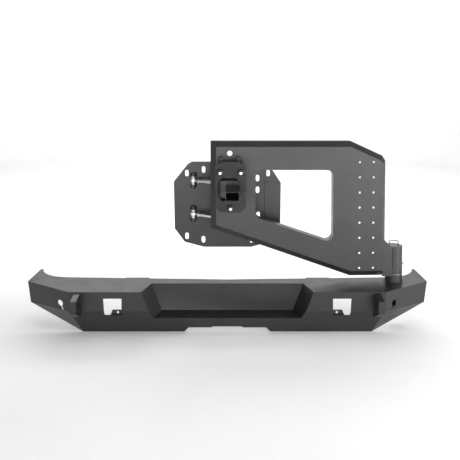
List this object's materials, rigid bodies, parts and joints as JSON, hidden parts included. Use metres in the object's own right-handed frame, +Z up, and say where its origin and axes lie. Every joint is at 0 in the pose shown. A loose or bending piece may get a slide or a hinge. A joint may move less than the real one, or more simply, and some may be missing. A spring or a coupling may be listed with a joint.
{
  "type": "rear bumper with swing-out spare tire carrier",
  "caption": "Steel off-road rear bumper with a step recess and a side-hinged swing-out spare tire arm, wheel mount and adjustable tailgate link rods.",
  "frame": {"origin": "centre of the four frame bolt holes, on the frame brackets' faces", "axes": "+X to the vehicle's right, along the bumper; +Y forward, into the vehicle, along the frame bolts; +Z up"},
  "size_m": [1.71, 0.461, 0.7885],
  "materials": {
    "bumper_coat": "semi-gloss fine-textured black powder coat",
    "arm_coat": "semi-gloss fine-textured black powder coat",
    "satin_black": "satin black powder coat",
    "matt_black": "matt black powder coat",
    "zinc": "bright zinc plate",
    "bare_steel": "ground steel, lightly greased",
    "black_oxide": "black oxide steel",
    "bronze": "sintered bronze"
  },
  "bodies": {
    "bumper": {"centre_shell": "bumper_coat", "left_shell": "bumper_coat", "right_shell": "bumper_coat", "left_wing": "bumper_coat", "right_wing": "bumper_coat", "step_pan": "bumper_coat", "left_frame_bracket": "bumper_coat", "right_frame_bracket": "bumper_coat", "left_shackle_tab": "bumper_coat", "right_shackle_tab": "bumper_coat", "left_light_tab": "arm_coat", "right_light_tab": "arm_coat", "shell_ribs": "bumper_coat", "spindle_box": "bumper_coat", "spindle_collar": "arm_coat", "spindle": "bare_steel", "spindle_washer": "zinc", "spindle_nut": "zinc", "stop_disc": "bare_steel", "stop_disc_screw": "zinc"},
    "swing_arm": {"arm_face": "arm_coat", "hinge_ear": "arm_coat", "arm_ribs": "arm_coat", "hinge_channel": "arm_coat", "window_rim": "arm_coat", "hinge_tube": "arm_coat", "lower_bush": "bronze", "upper_bush": "bronze", "hinge_cap": "arm_coat", "grease_fitting": "zinc", "upper_arm_clevis": "arm_coat", "lower_arm_clevis": "arm_coat", "arm_link_bolts": "zinc", "arm_link_nuts": "zinc", "arm_link_balls": "bare_steel", "bracket_channel": "matt_black", "bracket_bolts": "black_oxide", "bracket_nuts": "zinc", "wheel_plate": "matt_black", "wheel_studs": "zinc", "lug_nuts": "black_oxide", "camera_tube": "satin_black"},
    "upper_link": {"upper_arm_rod_end": "zinc", "upper_turnbuckle": "zinc", "upper_gate_rod_end": "zinc", "upper_jam_nuts": "zinc"},
    "lower_link": {"lower_arm_rod_end": "zinc", "lower_turnbuckle": "zinc", "lower_gate_rod_end": "zinc", "lower_jam_nuts": "zinc"},
    "tailgate_bracket": {"gate_plate": "satin_black", "gate_doubler": "satin_black", "upper_gate_clevis": "satin_black", "lower_gate_clevis": "satin_black", "gate_link_bolts": "black_oxide", "gate_link_nuts": "black_oxide", "gate_link_balls": "bare_steel"},
    "stop_release": {"stop_plunger": "bare_steel", "plunger_bail": "black_oxide", "plunger_spring": "bare_steel"}
  },
  "joints": [
    {"name": "arm_swing", "type": "hinge", "parent": "bumper", "child": "swing_arm", "pos_m": [0.715, -0.082, 0.17], "axis": [0, 0, 1], "range_deg": [0, 95]},
    {"name": "upper_link_turn", "type": "hinge", "parent": "swing_arm", "child": "upper_link", "pos_m": [-0.038, -0.103, 0.498], "axis": [0, 0, 1], "range_deg": [-107, 0]},
    {"name": "lower_link_turn", "type": "hinge", "parent": "swing_arm", "child": "lower_link", "pos_m": [-0.038, -0.103, 0.351], "axis": [0, 0, 1], "range_deg": [-107, 0]},
    {"name": "tailgate_turn", "type": "hinge", "parent": "upper_link", "child": "tailgate_bracket", "pos_m": [-0.15, -0.021, 0.498], "axis": [0, 0, 1], "range_deg": [0, 104]},
    {"name": "stop_lift", "type": "slide", "parent": "swing_arm", "child": "stop_release", "axis": [0, 0, 1], "range_m": [0, 0.0075], "stiffness_N_per_m": 900, "springref_m": -0.01, "deforming": ["plunger_spring"]}
  ],
  "couplings": [
    {"joint": "upper_link_turn", "follows": "arm_swing", "ratio": -1.125},
    {"joint": "lower_link_turn", "follows": "arm_swing", "ratio": -1.125},
    {"joint": "tailgate_turn", "follows": "arm_swing", "ratio": 1.09}
  ]
}
